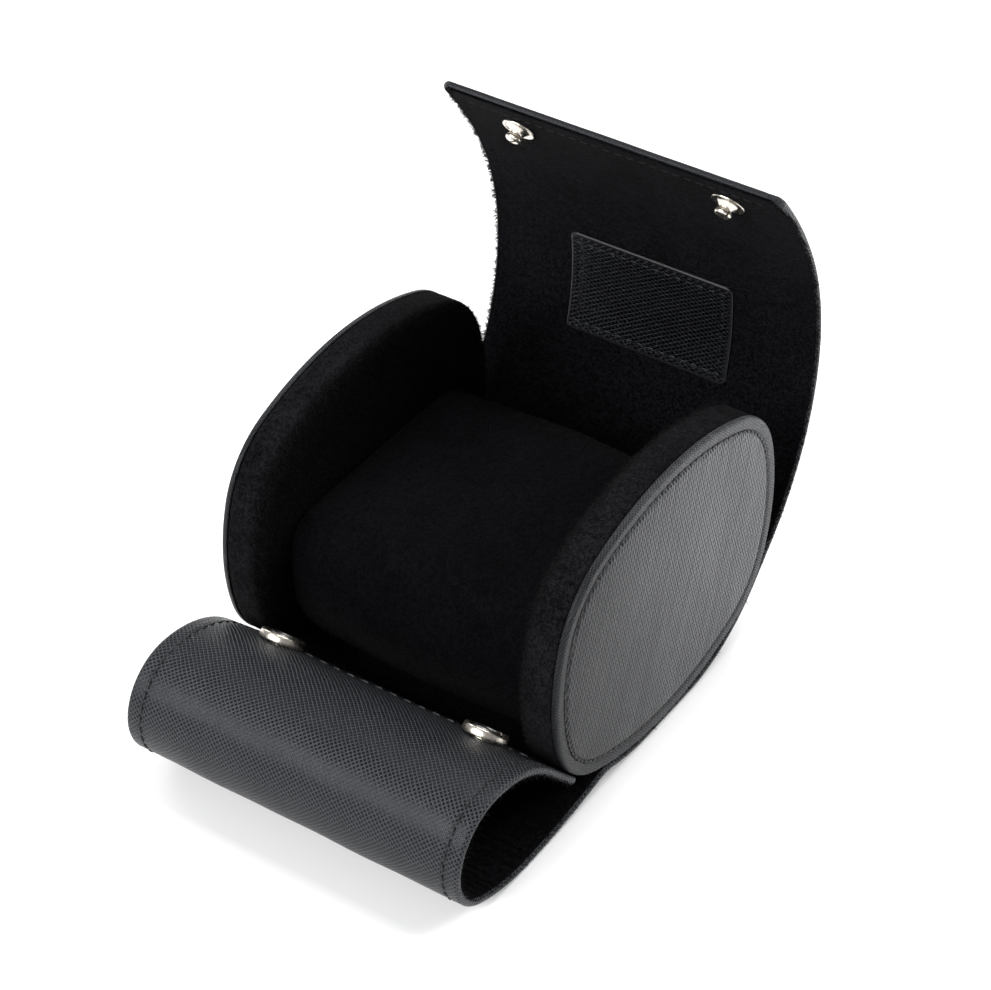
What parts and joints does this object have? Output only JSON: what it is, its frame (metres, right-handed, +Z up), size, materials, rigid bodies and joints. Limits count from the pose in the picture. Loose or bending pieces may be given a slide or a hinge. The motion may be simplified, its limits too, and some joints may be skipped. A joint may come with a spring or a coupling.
{
  "type": "watch roll",
  "caption": "Black leather roll case for a single watch: oval end caps, a suede cushion between them, and a long wrap with front and back flaps that close over the top with ring snaps.",
  "frame": {"origin": "on the flat underside of the base, half way between the end caps and below their middle", "axes": "+X across the roll from the left cap to the right one, +Y to the back flap, +Z up"},
  "size_m": [0.09, 0.148, 0.1202],
  "materials": {
    "leather": "cross-hatched grain, satin",
    "suede": "short nap, matte",
    "foam": "matte foam",
    "board": "grey card",
    "nickel": "bright nickel"
  },
  "bodies": {
    "body": {"base_cover": "leather", "base_board": "board", "base_lining": "suede", "left_cap_face": "leather", "left_cap_board": "board", "left_cap_foam": "foam", "left_cap_band": "suede", "left_cap_lining": "suede", "right_cap_face": "leather", "right_cap_board": "board", "right_cap_foam": "foam", "right_cap_band": "suede", "right_cap_lining": "suede"},
    "back_lower": {"back_lower_cover": "leather", "back_lower_board": "board", "back_lower_lining": "suede"},
    "back_middle": {"back_middle_cover": "leather", "back_middle_board": "board", "back_middle_lining": "suede"},
    "back_upper": {"back_upper_cover": "leather", "back_upper_board": "board", "back_upper_lining": "suede", "label_patch": "leather", "snap_studs": "nickel", "stud_posts": "nickel"},
    "front_heel": {"front_heel_cover": "leather", "front_heel_lining": "suede"},
    "front_floor": {"front_floor_cover": "leather", "front_floor_lining": "suede"},
    "front_bend": {"front_bend_cover": "leather", "front_bend_lining": "suede"},
    "front_nose": {"front_nose_cover": "leather", "front_nose_lining": "suede"},
    "front_crest": {"front_crest_cover": "leather", "front_crest_lining": "suede"},
    "front_tip": {"front_tip_cover": "leather", "front_tip_board": "board", "front_tip_lining": "suede", "snap_sockets": "nickel", "socket_springs": "nickel", "socket_posts": "nickel"},
    "cushion": {"cushion_belt": "suede", "cushion_left_end": "suede", "cushion_right_end": "suede", "cushion_foam": "foam"}
  },
  "joints": [
    {"name": "back_fold", "type": "hinge", "parent": "body", "child": "back_lower", "pos_m": [0, 0.03906, 0.01427], "axis": [-1, 0, 0], "range_deg": [-6.51, 12]},
    {"name": "back_bend", "type": "hinge", "parent": "back_lower", "child": "back_middle", "pos_m": [0, 0.05285, 0.03058], "axis": [-1, 0, 0], "range_deg": [-26.15, 12]},
    {"name": "back_lean", "type": "hinge", "parent": "back_middle", "child": "back_upper", "pos_m": [0, 0.06077, 0.04821], "axis": [-1, 0, 0], "range_deg": [-15.12, 12]},
    {"name": "front_fold", "type": "hinge", "parent": "body", "child": "front_heel", "pos_m": [0, -0.02491, 0.00487], "axis": [1, 0, 0], "range_deg": [-34.61, 0], "deforming": ["front_bend_cover", "front_bend_lining", "front_nose_cover", "front_nose_lining", "front_crest_cover", "front_crest_lining", "front_tip_cover", "front_tip_board", "front_tip_lining", "snap_sockets", "socket_springs", "socket_posts"]},
    {"name": "front_floor_bend", "type": "hinge", "parent": "front_heel", "child": "front_floor", "pos_m": [0, -0.04002, 0.00275], "axis": [1, 0, 0], "range_deg": [-31.92, 0]},
    {"name": "front_bend_open", "type": "hinge", "parent": "front_floor", "child": "front_bend", "pos_m": [0, -0.06343, 0.00265], "axis": [1, 0, 0], "range_deg": [-9.12, 0]},
    {"name": "front_nose_open", "type": "hinge", "parent": "front_bend", "child": "front_nose", "pos_m": [0, -0.07975, 0.00812], "axis": [1, 0, 0], "range_deg": [0, 41.68]},
    {"name": "front_crest_open", "type": "hinge", "parent": "front_nose", "child": "front_crest", "pos_m": [0, -0.08219, 0.02135], "axis": [1, 0, 0], "range_deg": [0, 30.18]},
    {"name": "front_tip_open", "type": "hinge", "parent": "front_crest", "child": "front_tip", "pos_m": [0, -0.07068, 0.03127], "axis": [1, 0, 0], "range_deg": [0, 40.37]},
    {"name": "cushion_lift", "type": "slide", "parent": "body", "child": "cushion", "axis": [0, 0, 1], "range_m": [0, 0.078]}
  ],
  "couplings": [
    {"joint": "front_floor_bend", "follows": "front_fold", "ratio": 0.9209},
    {"joint": "front_bend_open", "follows": "front_fold", "ratio": 0.262},
    {"joint": "front_nose_open", "follows": "front_fold", "ratio": -1.2029},
    {"joint": "front_crest_open", "follows": "front_fold", "ratio": -0.8707},
    {"joint": "front_tip_open", "follows": "front_fold", "ratio": -1.1652}
  ]
}
